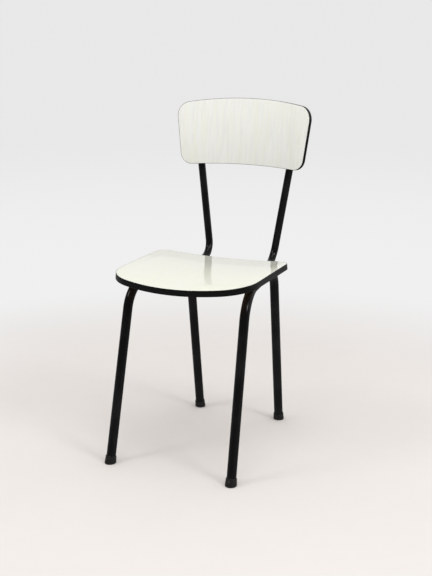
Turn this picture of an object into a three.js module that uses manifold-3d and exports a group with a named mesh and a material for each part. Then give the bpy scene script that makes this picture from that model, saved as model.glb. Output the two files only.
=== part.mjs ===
// Kitchen chair: a dished laminate seat and a curved laminate back on a bent steel tube frame.
// Millimetres, +Z up. The sitter faces -Y and +X is the sitter's left hand.
// While it is built, y = 0 is where the axes of the front legs and the seat rails cross.

import * as THREE from 'three';
import { mergeVertices, toCreasedNormals } from 'three/addons/utils/BufferGeometryUtils.js';
import Module from 'manifold-3d';

const wasm = await Module();
wasm.setup();

// Clearances
const fitGap = 0.3;
const holeClearance = 0.4;

// Seat panel: its top face is a shallow trough across the seat
const seatHeight = 437.6;
const seatWidth = 344.2;
const seatDepth = 320;
const seatFrontOverhang = 102;
const seatDishRadius = 1650;
const seatFrontBow = 333;
const seatRearBow = 2000;
const seatFrontCorner = 88;
const seatRearCorner = 31;
const seatBoardThickness = 12.9;
const seatLaminateThickness = 1.2;
const seatBandThickness = 1.2;

// Back panel: hollow towards the sitter, wider at its top
const backHeight = 725;
const backHalfWidth = 173.2;
const backFlare = 0.13;
const backRise = 88;
const backDrop = 75;
const backTopBow = 801;
const backBottomBow = 1556;
const backTopCorner = 34;
const backBottomCorner = 28;
const backCurveRadius = 480;
const backBoardThickness = 6.6;
const backLaminateThickness = 0.9;
const backBandThickness = 1.1;

// Side frames: front leg, seat rail and rear leg are one bent tube
const legTubeDiameter = 22;
const legTubeWall = 1.5;
const railLength = 253.4;
const railFrontHalfSpread = 144.9;
const railRearHalfSpread = 113.4;
const frontLegRake = 0.25;
const frontLegSplay = 0.02;
const rearLegRake = 0.139;
const rearLegSplay = -0.005;
const frontBendRadius = 80;
const rearBendRadius = 55;

// Back uprights: each runs along its rail under the seat, then bends up behind the seat
const uprightTubeDiameter = 18;
const uprightTubeWall = 1.5;
const uprightFrontEnd = 62;
const uprightCorner = 320.5;
const uprightTopHeight = 790;
const uprightSplay = 0.145;
const uprightLean = 0.089;
const uprightBendRadius = 45;
const plugStemLength = 10;
const plugStemChamfer = 1;
const plugHeadHeight = 3;
const plugCrownInset = 2.5;

// Crossbars: flat strips, curved to the seat's underside, that carry the seat screws
const crossbarThickness = 3;
const crossbarWidth = 28;
const frontCrossbarPlace = 85;
const rearCrossbarPlace = 185;
const crossbarRailOverlap = 3;

// Foot caps
const capLength = 22;
const capWall = 1.3;
const capFlare = 1.2;
const capFlareHeight = 7;
const capMouthChamfer = 0.7;
const capSoleThickness = 4;
const capSoleRound = 2.5;

// Screws
const screwShankDiameter = 4;
const screwHeadDiameter = 8.4;
const screwHeadHeight = 2.6;
const screwHeadRim = 0.9;
const screwTipLength = 3;
const seatScrewHalfSpacing = 55;
const seatScrewDepth = 9.5;
const backScrewDepth = 5;
const backScrewRises = { upper: 42, lower: -38 };
const pilotHoleExtra = 0.8;

// Facets
const tubeSides = 20;
const bendStep = THREE.MathUtils.degToRad(14);
const arcStepLength = 25;
const cornerSteps = 6;
const roundSteps = 3;
const capSides = 18;
const screwSides = 12;
const panelStrips = 14;

// Sizes that follow from the ones above
const seatThickness = seatLaminateThickness + fitGap + seatBoardThickness;
const backThickness = 2 * (backLaminateThickness + fitGap) + backBoardThickness;
const legTubeRadius = legTubeDiameter / 2;
const uprightTubeRadius = uprightTubeDiameter / 2;
const railTurn = Math.atan2(railFrontHalfSpread - railRearHalfSpread, railLength);

function railHalfSpreadAt(y) {
  return THREE.MathUtils.lerp(railFrontHalfSpread, railRearHalfSpread, y / railLength);
}

function uprightHalfSpreadAt(y) {
  return railHalfSpreadAt(y) - (legTubeRadius + fitGap + uprightTubeRadius) / Math.cos(railTurn);
}

function seatUndersideAt(x) {
  const radius = seatDishRadius + seatThickness;
  return seatHeight + seatDishRadius - Math.sqrt(radius * radius - x * x);
}

const railHeight = seatUndersideAt(railRearHalfSpread) - fitGap - legTubeRadius;
const crossbarUndersideAt = (x) => seatUndersideAt(x) - fitGap - crossbarThickness;
const uprightRunHeight =
  crossbarUndersideAt(uprightHalfSpreadAt(rearCrossbarPlace + crossbarWidth / 2)) - fitGap - uprightTubeRadius;

// Materials
const finish = (color, roughness, metalness = 0) =>
  new THREE.MeshStandardMaterial({ color, roughness, metalness });
const creamLaminate = finish(0xeeeee2, 0.25);
const blackEdging = finish(0x141414, 0.5);
const plywood = finish(0xc49a66, 0.7);
const blackEnamel = finish(0x161718, 0.35, 0.1);
const blackRubber = finish(0x2a2928, 0.8);
const zincSteel = finish(0x9a9c9e, 0.35, 0.9);
const blackPlastic = finish(0x1b1b1b, 0.55);

// Solids: closed meshes that can be cut and joined
function solidOf(geometry) {
  const bare = new THREE.BufferGeometry();
  bare.setAttribute('position', geometry.getAttribute('position').clone());
  bare.setIndex(geometry.index ? geometry.index.clone() : null);
  const merged = mergeVertices(bare, 1e-4);
  const mesh = new wasm.Mesh({
    numProp: 3,
    vertProperties: new Float32Array(merged.getAttribute('position').array),
    triVerts: new Uint32Array(merged.index.array),
  });
  return new wasm.Manifold(mesh);
}

function geometryOf(solid) {
  const { vertProperties, triVerts } = solid.getMesh();
  const geometry = new THREE.BufferGeometry();
  geometry.setAttribute('position', new THREE.BufferAttribute(new Float32Array(vertProperties), 3));
  geometry.setIndex(new THREE.BufferAttribute(new Uint32Array(triVerts), 1));
  return geometry;
}

function cut(geometry, ...tools) {
  const solid = tools.reduce((rest, tool) => rest.subtract(solidOf(tool)), solidOf(geometry));
  return geometryOf(solid);
}

function common(geometry, other) {
  return geometryOf(solidOf(geometry).intersect(solidOf(other)));
}

// Paths: straight runs with a circular bend at each inner corner
class BentPath extends THREE.Curve {
  constructor(corners, radii) {
    super();
    this.stations = [];
    const last = corners.length - 1;
    const heading = (i) => corners[i + 1].clone().sub(corners[i]).normalize();
    this.stations.push({ point: corners[0], tangent: heading(0) });
    for (let i = 1; i < last; i += 1) {
      this.addBend(corners[i], heading(i - 1), heading(i), radii[i - 1]);
    }
    this.stations.push({ point: corners[last], tangent: heading(last - 1) });
  }

  addBend(corner, before, after, radius) {
    const turn = before.angleTo(after);
    const start = corner.clone().addScaledVector(before, -radius * Math.tan(turn / 2));
    const inward = after.clone().addScaledVector(before, -after.dot(before)).normalize();
    const centre = start.clone().addScaledVector(inward, radius);
    const steps = Math.ceil(turn / bendStep);
    for (let i = 0; i <= steps; i += 1) {
      const angle = (turn * i) / steps;
      const point = centre.clone();
      point.addScaledVector(inward, -radius * Math.cos(angle));
      point.addScaledVector(before, radius * Math.sin(angle));
      const tangent = before.clone().multiplyScalar(Math.cos(angle));
      tangent.addScaledVector(inward, Math.sin(angle));
      this.stations.push({ point, tangent });
    }
  }

  get steps() {
    return this.stations.length - 1;
  }

  stationAt(t) {
    return this.stations[Math.round(t * this.steps)];
  }

  getPoint(t, target = new THREE.Vector3()) {
    return target.copy(this.stationAt(t).point);
  }

  getPointAt(t, target) {
    return this.getPoint(t, target);
  }

  getTangent(t, target = new THREE.Vector3()) {
    return target.copy(this.stationAt(t).tangent);
  }

  getTangentAt(t, target) {
    return this.getTangent(t, target);
  }
}

function disc(radius, Kind = THREE.Shape) {
  const section = new Kind();
  const points = [];
  for (let i = 0; i < tubeSides; i += 1) {
    const angle = (2 * Math.PI * i) / tubeSides;
    points.push(new THREE.Vector2(radius * Math.cos(angle), radius * Math.sin(angle)));
  }
  return section.setFromPoints(points);
}

function bar(path, radius) {
  return new THREE.ExtrudeGeometry(disc(radius), { steps: path.steps, extrudePath: path });
}

function tube(path, radius, wall) {
  const section = disc(radius);
  section.holes.push(disc(radius - wall, THREE.Path));
  return new THREE.ExtrudeGeometry(section, { steps: path.steps, extrudePath: path });
}

// A straight round tool from one point along a direction
function rod(from, direction, length, radius, sides = screwSides) {
  const geometry = new THREE.CylinderGeometry(radius, radius, length, sides);
  geometry.translate(0, length / 2, 0);
  geometry.applyQuaternion(new THREE.Quaternion().setFromUnitVectors(new THREE.Vector3(0, 1, 0), direction));
  geometry.translate(from.x, from.y, from.z);
  return geometry;
}

// Panel outlines: s runs across the panel and t along it; the end edges are bowed arcs.
// A bow above zero has its centre below its edge, and a bow below zero has it above.
function cornerCentre(panel, edge, bow, reach, corner) {
  const m = panel.flare;
  const a = panel.halfWidth - corner * Math.hypot(1, m);
  const c = edge - bow;
  const qa = 1 + m * m;
  const qb = 2 * (a * m - c);
  const qc = a * a + c * c - reach * reach;
  const t = (-qb + Math.sign(bow) * Math.sqrt(qb * qb - 4 * qa * qc)) / (2 * qa);
  return new THREE.Vector2(a + m * t, t);
}

function arcPoints(centre, radius, from, to, steps) {
  const points = [];
  for (let i = 0; i <= steps; i += 1) {
    const angle = THREE.MathUtils.lerp(from, to, i / steps);
    points.push(new THREE.Vector2(centre.x + radius * Math.cos(angle), centre.y + radius * Math.sin(angle)));
  }
  return points;
}

function outline(panel, inset = 0) {
  const low = cornerCentre(panel, panel.bottom, panel.bottomBow,
    Math.abs(panel.bottomBow + panel.bottomCorner), panel.bottomCorner);
  const high = cornerCentre(panel, panel.top, panel.topBow,
    Math.abs(panel.topBow - panel.topCorner), panel.topCorner);
  const sideAngle = -Math.atan(panel.flare);
  const lowFocus = new THREE.Vector2(0, panel.bottom - panel.bottomBow);
  const highFocus = new THREE.Vector2(0, panel.top - panel.topBow);
  const lowArc = Math.abs(panel.bottomBow + inset);
  const highArc = Math.abs(panel.topBow - inset);
  const hollow = panel.bottomBow > 0;
  const lowTurn = low.clone().sub(lowFocus).angle();
  const highTurn = high.clone().sub(highFocus).angle();
  const lowMiddle = hollow ? Math.PI / 2 : (3 * Math.PI) / 2;
  const lowContact = hollow ? lowTurn - Math.PI : lowTurn - 2 * Math.PI;
  const lowSteps = Math.ceil(low.x / arcStepLength);
  const highSteps = Math.ceil(high.x / arcStepLength);
  const half = [
    ...arcPoints(lowFocus, lowArc, lowMiddle, lowTurn, lowSteps).slice(0, -1),
    ...arcPoints(low, panel.bottomCorner - inset, lowContact, sideAngle, cornerSteps),
    ...arcPoints(high, panel.topCorner - inset, sideAngle, highTurn, cornerSteps),
    ...arcPoints(highFocus, highArc, highTurn, Math.PI / 2, highSteps).slice(1),
  ];
  const mirrored = half.slice(1, -1).reverse().map((p) => new THREE.Vector2(-p.x, p.y));
  return new THREE.Shape([...half, ...mirrored]);
}

function rectangle(halfWidth, bottom, top) {
  return new THREE.Shape([
    new THREE.Vector2(-halfWidth, bottom),
    new THREE.Vector2(halfWidth, bottom),
    new THREE.Vector2(halfWidth, top),
    new THREE.Vector2(-halfWidth, top),
  ]);
}

// Curved panels: x across, z along, y away from the centre of curvature, and the face at y = 0.
// The cutter's walls all point at the axis of curvature, so that edges stand square to the face.
function radialCutter(shape, radius) {
  const nearAxis = 0.8 * radius;
  const farOut = 1.3 * radius;
  const geometry = new THREE.ExtrudeGeometry(shape, { depth: 1, bevelEnabled: false });
  const position = geometry.getAttribute('position');
  for (let i = 0; i < position.count; i += 1) {
    const angle = position.getX(i) / radius;
    const reach = position.getZ(i) > 0 ? farOut : nearAxis;
    const t = position.getY(i);
    position.setXYZ(i, reach * Math.sin(angle), reach * Math.cos(angle) - radius, t);
  }
  return turnedInsideOut(geometry);
}

function turnedInsideOut(geometry) {
  const position = geometry.getAttribute('position');
  const index = [];
  for (let i = 0; i < position.count; i += 3) {
    index.push(i, i + 2, i + 1);
  }
  geometry.setIndex(index);
  return geometry;
}

function curvedSheet(radius, from, to, halfWidth, bottom, top) {
  const halfAngle = halfWidth / radius;
  const centre = new THREE.Vector2(0, radius);
  const facing = -Math.PI / 2;
  const section = new THREE.Shape([
    ...arcPoints(centre, radius + from, facing - halfAngle, facing + halfAngle, panelStrips),
    ...arcPoints(centre, radius + to, facing + halfAngle, facing - halfAngle, panelStrips),
  ]);
  const geometry = new THREE.ExtrudeGeometry(section, { depth: top - bottom, bevelEnabled: false });
  geometry.rotateX(Math.PI);
  geometry.translate(0, 0, top);
  return geometry;
}

function curvedPanel(panel, radius, from, to, inset = 0) {
  const overhang = 10;
  const widest = panel.halfWidth + panel.flare * panel.top + overhang;
  const sheet = curvedSheet(radius, from, to, widest, panel.lowest - overhang, panel.top + overhang);
  return common(sheet, radialCutter(outline(panel, inset), radius));
}

function edgeBand(panel, radius, thickness, wall) {
  return cut(curvedPanel(panel, radius, 0, thickness), radialCutter(outline(panel, wall), radius));
}

// Screws: the head rests at y = 0 and the shank points along -y
function screw(length) {
  const shank = screwShankDiameter / 2;
  const head = screwHeadDiameter / 2;
  const dome = screwHeadHeight - screwHeadRim;
  const profile = [
    new THREE.Vector2(0, -length),
    new THREE.Vector2(shank, -length + screwTipLength),
    new THREE.Vector2(shank, 0),
    new THREE.Vector2(head, 0),
    new THREE.Vector2(head, screwHeadRim),
  ];
  for (let i = 1; i < roundSteps; i += 1) {
    const angle = (Math.PI / 2) * (i / roundSteps);
    profile.push(new THREE.Vector2(head * Math.cos(angle), screwHeadRim + dome * Math.sin(angle)));
  }
  profile.push(new THREE.Vector2(0, screwHeadHeight));
  return new THREE.LatheGeometry(profile, screwSides);
}

// Scene graph helpers
function part(name, geometry, material) {
  const crease = THREE.MathUtils.degToRad(35);
  const mesh = new THREE.Mesh(toCreasedNormals(geometry, crease), material);
  mesh.name = name;
  return mesh;
}

function aim(mesh, at, direction) {
  mesh.position.copy(at);
  mesh.quaternion.setFromUnitVectors(new THREE.Vector3(0, 1, 0), direction);
  return mesh;
}

function flipX(geometry) {
  const mirrored = geometry.clone().scale(-1, 1, 1);
  return turnedInsideOut(mirrored.index ? mirrored.toNonIndexed() : mirrored);
}

// The frame's left half; the right half is its mirror image
const frontCorner = new THREE.Vector3(railFrontHalfSpread, 0, railHeight);
const rearCorner = new THREE.Vector3(railRearHalfSpread, railLength, railHeight);
const legs = {
  front: { corner: frontCorner, up: new THREE.Vector3(-frontLegSplay, frontLegRake, 1) },
  rear: { corner: rearCorner, up: new THREE.Vector3(-rearLegSplay, -rearLegRake, 1) },
};

function onLegAt(leg, z) {
  return leg.corner.clone().addScaledVector(leg.up, z - leg.corner.z);
}

// The tube stands square on the cap's inner floor, clear of the sole all round
function legEnd(leg) {
  const sink = legTubeRadius * Math.hypot(leg.up.x, leg.up.y);
  return onLegAt(leg, capSoleThickness + fitGap + sink);
}

const sidePath = new BentPath(
  [legEnd(legs.front), frontCorner, rearCorner, legEnd(legs.rear)],
  [frontBendRadius, rearBendRadius],
);

const uprightFoot = new THREE.Vector3(uprightHalfSpreadAt(uprightCorner), uprightCorner, uprightRunHeight);
const uprightSlope = new THREE.Vector3(uprightSplay, uprightLean, 1);
const onUprightAt = (z) => uprightFoot.clone().addScaledVector(uprightSlope, z - uprightFoot.z);
const uprightStart = new THREE.Vector3(uprightHalfSpreadAt(uprightFrontEnd), uprightFrontEnd, uprightRunHeight);
const uprightPath = new BentPath([uprightStart, uprightFoot, onUprightAt(uprightTopHeight)], [uprightBendRadius]);
const uprightAxis = uprightSlope.clone().normalize();

// The back leans so that its rear face lies along both uprights
const uprightReach = backCurveRadius + backThickness + fitGap + uprightTubeRadius;
const uprightMiddle = onUprightAt(backHeight);
const uprightFromCentre = Math.sqrt(uprightReach * uprightReach - uprightMiddle.x * uprightMiddle.x);
const backTilt = Math.atan(uprightLean + (uprightSplay * uprightMiddle.x) / uprightFromCentre);
const backPlace = uprightMiddle.y - (uprightFromCentre - backCurveRadius) / Math.cos(backTilt);

// Where a back screw crosses the upright, and the way out through its head
function backScrewSeat(rise) {
  const axisPoint = onUprightAt(backHeight + rise);
  const turn = Math.asin(axisPoint.x / uprightReach);
  const out = new THREE.Vector3(Math.sin(turn), Math.cos(turn), 0);
  out.applyAxisAngle(new THREE.Vector3(1, 0, 0), -backTilt);
  return { axisPoint, out };
}

const backScrewLength = 2 * (uprightTubeRadius + fitGap) + backLaminateThickness + fitGap + backScrewDepth;

function uprightTube() {
  const through = 2 * uprightTubeDiameter;
  const holes = Object.values(backScrewRises).map((rise) => {
    const { axisPoint, out } = backScrewSeat(rise);
    const from = axisPoint.clone().addScaledVector(out, -through / 2);
    return rod(from, out, through, screwShankDiameter / 2 + holeClearance);
  });
  return cut(tube(uprightPath, uprightTubeRadius, uprightTubeWall), ...holes);
}

// A flared sleeve that leans with its leg; its sole is level, with a round edge
function footCap(leg) {
  const boreRadius = legTubeRadius + fitGap;
  const mouthRadius = boreRadius + capWall;
  const footRadius = mouthRadius + capFlare;
  const axis = leg.up.clone().normalize();
  const sleeve = new THREE.LatheGeometry([
    new THREE.Vector2(0, -footRadius),
    new THREE.Vector2(footRadius, -footRadius),
    new THREE.Vector2(footRadius, capSoleRound),
    new THREE.Vector2(mouthRadius + capFlare / 3, capFlareHeight),
    new THREE.Vector2(mouthRadius, capLength - capMouthChamfer),
    new THREE.Vector2(mouthRadius - capMouthChamfer, capLength),
    new THREE.Vector2(0, capLength),
  ], capSides);
  sleeve.applyQuaternion(new THREE.Quaternion().setFromUnitVectors(new THREE.Vector3(0, 1, 0), axis));
  const blank = common(sleeve, groundTool(leg, footRadius));
  const sole = onLegAt(leg, 0);
  blank.translate(sole.x, sole.y, sole.z);
  const boreFloor = legEnd(leg).addScaledVector(axis, -fitGap);
  return cut(blank, rod(boreFloor, axis, 2 * capLength, boreRadius, capSides));
}

// The space above the floor that a cap may fill: round at the sole's edge, and sheared to the leg
function groundTool(leg, footRadius) {
  const reach = footRadius * leg.up.length();
  const clear = reach + capWall;
  const tall = 2 * capLength;
  const edge = new THREE.Vector2(reach - capSoleRound, capSoleRound);
  const tool = new THREE.LatheGeometry([
    new THREE.Vector2(0, 0),
    ...arcPoints(edge, capSoleRound, -Math.PI / 2, 0, roundSteps),
    new THREE.Vector2(clear, capSoleRound),
    new THREE.Vector2(clear, tall),
    new THREE.Vector2(0, tall),
  ], capSides);
  tool.rotateX(Math.PI / 2);
  return tool.applyMatrix4(new THREE.Matrix4().makeShear(0, 0, 0, 0, leg.up.x, leg.up.y));
}

function endPlug() {
  const stem = uprightTubeRadius - uprightTubeWall - fitGap;
  return new THREE.LatheGeometry([
    new THREE.Vector2(0, -plugStemLength),
    new THREE.Vector2(stem - plugStemChamfer, -plugStemLength),
    new THREE.Vector2(stem, -plugStemLength + plugStemChamfer),
    new THREE.Vector2(stem, fitGap),
    new THREE.Vector2(uprightTubeRadius, fitGap),
    new THREE.Vector2(uprightTubeRadius, plugHeadHeight / 2),
    new THREE.Vector2(uprightTubeRadius - plugCrownInset, plugHeadHeight),
    new THREE.Vector2(0, plugHeadHeight),
  ], capSides);
}

const chair = new THREE.Group();

for (const [side, mirror] of [['left', false], ['right', true]]) {
  const placed = (geometry) => (mirror ? flipX(geometry) : geometry);
  const across = new THREE.Vector3(mirror ? -1 : 1, 1, 1);
  chair.add(part(`${side}_side_frame`, placed(tube(sidePath, legTubeRadius, legTubeWall)), blackEnamel));
  chair.add(part(`${side}_upright`, placed(uprightTube()), blackEnamel));
  for (const [end, leg] of Object.entries(legs)) {
    chair.add(part(`${side}_${end}_foot_cap`, placed(footCap(leg)), blackRubber));
  }
  const plug = part(`${side}_upright_plug`, endPlug(), blackPlastic);
  chair.add(aim(plug, onUprightAt(uprightTopHeight).multiply(across), uprightAxis.clone().multiply(across)));
  for (const [level, rise] of Object.entries(backScrewRises)) {
    const { axisPoint, out } = backScrewSeat(rise);
    const headSeat = axisPoint.clone().addScaledVector(out, uprightTubeRadius + fitGap);
    const backScrew = part(`${side}_${level}_back_screw`, screw(backScrewLength), zincSteel);
    chair.add(aim(backScrew, headSeat.multiply(across), out.clone().multiply(across)));
  }
}

// Seat: the panel's y axis points down and its z axis to the rear
const seat = new THREE.Group();
const seatMiddle = seatDepth / 2 - seatFrontOverhang;
seat.position.set(0, seatMiddle, seatHeight);
seat.rotation.x = -Math.PI / 2;
seat.updateMatrixWorld();
const intoSeat = seat.matrixWorld.clone().invert();
const seatPanel = {
  halfWidth: seatWidth / 2,
  flare: 0,
  top: seatDepth / 2,
  topBow: seatRearBow,
  topCorner: seatRearCorner,
  bottom: -seatDepth / 2,
  bottomBow: -seatFrontBow,
  bottomCorner: seatFrontCorner,
  lowest: -seatDepth / 2,
};
const seatInset = seatBandThickness + fitGap;
const seatBoardFace = seatLaminateThickness + fitGap;

const seatScrews = [];
for (const [end, place] of [['front', frontCrossbarPlace], ['rear', rearCrossbarPlace]]) {
  for (const [side, sign] of [['left', 1], ['right', -1]]) {
    const x = sign * seatScrewHalfSpacing;
    const drop = seatHeight - crossbarUndersideAt(seatScrewHalfSpacing + screwHeadDiameter / 2) + 2 * fitGap;
    seatScrews.push({ name: `${side}_${end}_seat_screw`, seat: new THREE.Vector3(x, drop, place - seatMiddle) });
  }
}
const intoBoard = new THREE.Vector3(0, -1, 0);
const screwHoles = (extra, depth) => seatScrews.map(({ seat: at }) =>
  rod(at, intoBoard, depth, screwShankDiameter / 2 + extra));
const seatScrewLength = 2 * fitGap + crossbarThickness + fitGap + seatScrewDepth;

const seatBoard = curvedPanel(seatPanel, seatDishRadius, seatBoardFace, seatThickness, seatInset);
seat.add(part('seat_board', cut(seatBoard, ...screwHoles(holeClearance, seatScrewLength + pilotHoleExtra)), plywood));
seat.add(part('seat_laminate',
  curvedPanel(seatPanel, seatDishRadius, 0, seatLaminateThickness, seatInset), creamLaminate));
seat.add(part('seat_edge_band',
  edgeBand(seatPanel, seatDishRadius, seatThickness, seatBandThickness), blackEdging));

function crossbar(place) {
  const halfWidth = railHalfSpreadAt(place) - crossbarRailOverlap;
  const middle = place - seatMiddle;
  const from = seatThickness + fitGap;
  const strip = curvedSheet(seatDishRadius, from, from + crossbarThickness, halfWidth,
    middle - crossbarWidth / 2, middle + crossbarWidth / 2);
  const rail = bar(sidePath, legTubeRadius + fitGap);
  const rails = [rail, flipX(rail)].map((side) => side.applyMatrix4(intoSeat));
  return cut(strip, ...rails, ...screwHoles(holeClearance, seatThickness));
}

seat.add(part('front_crossbar', crossbar(frontCrossbarPlace), blackEnamel));
seat.add(part('rear_crossbar', crossbar(rearCrossbarPlace), blackEnamel));
for (const { name, seat: at } of seatScrews) {
  const seatScrew = part(name, screw(seatScrewLength), zincSteel);
  seat.add(aim(seatScrew, at, intoBoard.clone().negate()));
}
chair.add(seat);

// Back: the panel's y axis points to the rear
const back = new THREE.Group();
back.position.set(0, backPlace, backHeight);
back.rotation.x = -backTilt;
back.updateMatrixWorld();
const intoBack = back.matrixWorld.clone().invert();
const backPanel = {
  halfWidth: backHalfWidth,
  flare: backFlare,
  top: backRise,
  topBow: backTopBow,
  topCorner: backTopCorner,
  bottom: -backDrop,
  bottomBow: backBottomBow,
  bottomCorner: backBottomCorner,
  lowest: -backDrop - (backHalfWidth * backHalfWidth) / (2 * backBottomBow),
};
const backInset = backBandThickness + fitGap;
const backBoardFace = backLaminateThickness + fitGap;
const backBoardRear = backBoardFace + backBoardThickness;

const backHoles = [];
for (const rise of Object.values(backScrewRises)) {
  for (const sign of [1, -1]) {
    const { axisPoint, out } = backScrewSeat(rise);
    const across = new THREE.Vector3(sign, 1, 1);
    const inward = out.clone().multiply(across).negate();
    const reach = backScrewLength + pilotHoleExtra;
    const from = axisPoint.clone().addScaledVector(out, uprightTubeRadius + fitGap).multiply(across);
    backHoles.push(rod(from, inward, reach, screwShankDiameter / 2 + holeClearance).applyMatrix4(intoBack));
  }
}

const backLayer = (from, to) => curvedPanel(backPanel, backCurveRadius, from, to, backInset);
back.add(part('back_front_laminate', backLayer(0, backLaminateThickness), creamLaminate));
back.add(part('back_board', cut(backLayer(backBoardFace, backBoardRear), ...backHoles), plywood));
back.add(part('back_rear_laminate',
  cut(backLayer(backBoardRear + fitGap, backThickness), ...backHoles), creamLaminate));
back.add(part('back_edge_band',
  edgeBand(backPanel, backCurveRadius, backThickness, backBandThickness), blackEdging));
chair.add(back);

// The finished chair stands on z = 0 with its origin under the middle of its outer box
const box = new THREE.Box3().setFromObject(chair, true);
const middle = box.getCenter(new THREE.Vector3());
chair.position.set(-middle.x, -middle.y, -box.min.z);

const group = new THREE.Group();
group.name = 'laminate_kitchen_chair';
group.add(chair);
group.updateMatrixWorld(true);

export default group;
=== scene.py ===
import math

import bmesh
import bpy
from bpy.props import FloatProperty, FloatVectorProperty, IntProperty, PointerProperty
from mathutils import Matrix, Vector


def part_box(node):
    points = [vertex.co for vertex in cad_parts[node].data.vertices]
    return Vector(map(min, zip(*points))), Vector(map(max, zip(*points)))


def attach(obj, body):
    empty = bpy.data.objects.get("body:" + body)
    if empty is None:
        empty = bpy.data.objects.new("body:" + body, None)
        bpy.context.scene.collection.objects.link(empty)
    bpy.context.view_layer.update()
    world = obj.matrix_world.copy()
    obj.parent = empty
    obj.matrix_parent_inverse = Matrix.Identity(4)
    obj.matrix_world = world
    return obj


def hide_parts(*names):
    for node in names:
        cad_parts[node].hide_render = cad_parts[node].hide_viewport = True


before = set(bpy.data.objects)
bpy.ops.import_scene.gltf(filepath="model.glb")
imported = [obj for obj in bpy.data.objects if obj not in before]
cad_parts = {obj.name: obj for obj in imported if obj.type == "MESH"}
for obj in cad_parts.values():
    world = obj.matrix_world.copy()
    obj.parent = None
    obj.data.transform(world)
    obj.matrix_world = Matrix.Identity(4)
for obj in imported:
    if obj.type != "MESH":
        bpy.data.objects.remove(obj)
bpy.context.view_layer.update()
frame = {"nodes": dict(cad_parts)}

bl_info = {
    "name": "Laminate Kitchen Chair",
    "version": (1, 0, 0),
    "blender": (4, 5, 0),
    "location": "View3D > Sidebar > Chair",
    "description": "Builds a kitchen chair with laminate panels on a bent steel tube frame",
    "category": "Add Mesh",
}

MM = 0.001
GAP = 0.3 * MM
MERGE = 1e-7
CREASE = math.radians(30)
TUBE_SIDES = 48
BEND_STEP = math.radians(3)
X_AXIS = Vector((1, 0, 0))
Y_AXIS = Vector((0, 1, 0))
Z_AXIS = Vector((0, 0, 1))
SIDES = {"left": 1, "right": -1}


def length(name, default, description):
    return FloatProperty(name=name, description=description, default=default, min=0.0,
                         unit="LENGTH", precision=5)


def ratio(name, default, description):
    return FloatProperty(name=name, description=description, default=default)


def colour(name, default, description):
    return FloatVectorProperty(name=name, description=description, default=default,
                               subtype="COLOR", size=3, min=0.0, max=1.0)


# Sizes and colours that a user would change

class ChairSeatSettings(bpy.types.PropertyGroup):
    width: length("Width", 0.3442, "Across the seat, over its edging")
    dish_radius: length("Dish radius", 1.65, "Radius of the shallow trough across the seat")
    front_bow: length("Front bow", 0.333, "Radius of the front edge")
    rear_bow: length("Rear bow", 2.0, "Radius of the rear edge")
    front_corner: length("Front corner", 0.088, "Radius of the front corners")
    rear_corner: length("Rear corner", 0.031, "Radius of the rear corners")
    board: length("Board", 0.0129, "Thickness of the plywood board")
    laminate: length("Laminate", 0.0012, "Thickness of the laminate sheet")
    edging: length("Edging", 0.0008, "Thickness of the edge strip")
    rounding: length("Rounding", 0.0007, "Radius of the edge strip's outer corners")


class ChairBackSettings(bpy.types.PropertyGroup):
    height: length("Height", 0.725, "Height of the middle of the back above the floor")
    half_width: length("Half width", 0.17305, "Half width along the curve at the middle")
    flare: ratio("Flare", 0.13, "Widening of each side per unit of height")
    rise: length("Rise", 0.088, "From the middle up to the top edge")
    drop: length("Drop", 0.075, "From the middle down to the bottom edge")
    top_bow: length("Top bow", 0.801, "Radius of the top edge")
    bottom_bow: length("Bottom bow", 1.556, "Radius of the hollow bottom edge")
    top_corner: length("Top corner", 0.034, "Radius of the upper corners")
    bottom_corner: length("Bottom corner", 0.028, "Radius of the lower corners")
    curve_radius: length("Curve radius", 0.48, "Radius of the back in plan")
    board: length("Board", 0.0066, "Thickness of the plywood board")
    laminate: length("Laminate", 0.0009, "Thickness of each laminate sheet")
    edging: length("Edging", 0.0007, "Thickness of the edge strip")
    rounding: length("Rounding", 0.0006, "Radius of the edge strip's outer corners")


class ChairFrameSettings(bpy.types.PropertyGroup):
    leg_tube: length("Leg tube", 0.022, "Outer diameter of the leg tube")
    upright_tube: length("Upright tube", 0.018, "Outer diameter of the upright tube")
    wall: length("Tube wall", 0.0015, "Wall of both tubes")
    rail_length: length("Rail length", 0.2534, "Seat rail, from leg axis to leg axis")
    rail_front: length("Rail front spread", 0.1449, "Half spread of the rails at the front legs")
    rail_rear: length("Rail rear spread", 0.1134, "Half spread of the rails at the rear legs")
    front_rake: ratio("Front rake", 0.25, "Forward lean of the front legs")
    front_splay: ratio("Front splay", 0.02, "Outward lean of the front legs")
    rear_rake: ratio("Rear rake", 0.139, "Backward lean of the rear legs")
    rear_splay: ratio("Rear splay", -0.005, "Outward lean of the rear legs")
    front_bend: length("Front bend", 0.08, "Bend radius at the front legs")
    rear_bend: length("Rear bend", 0.055, "Bend radius at the rear legs")
    upright_start: length("Upright start", 0.062, "Front end of the run under the seat")
    upright_corner: length("Upright corner", 0.3205, "Where the upright turns up behind the seat")
    upright_top: length("Upright top", 0.79, "Height of the top of the uprights")
    upright_splay: ratio("Upright splay", 0.145, "Outward lean of the uprights")
    upright_lean: ratio("Upright lean", 0.089, "Backward lean of the uprights")
    upright_bend: length("Upright bend", 0.045, "Bend radius of the uprights")
    crossbar: length("Crossbar", 0.003, "Thickness of the crossbar strips")
    crossbar_width: length("Crossbar width", 0.028, "Width of the crossbar strips")
    front_crossbar: length("Front crossbar", 0.085, "Place of the front crossbar along the rail")
    rear_crossbar: length("Rear crossbar", 0.185, "Place of the rear crossbar along the rail")


class ChairFootSettings(bpy.types.PropertyGroup):
    length: length("Length", 0.0178, "Length of the foot cap along the leg")
    wall: length("Wall", 0.0013, "Wall of the cap at its mouth")
    flare: length("Flare", 0.0012, "How much wider the cap is at the floor")
    sole: length("Sole", 0.004, "Thickness of the cap under the tube")


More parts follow.
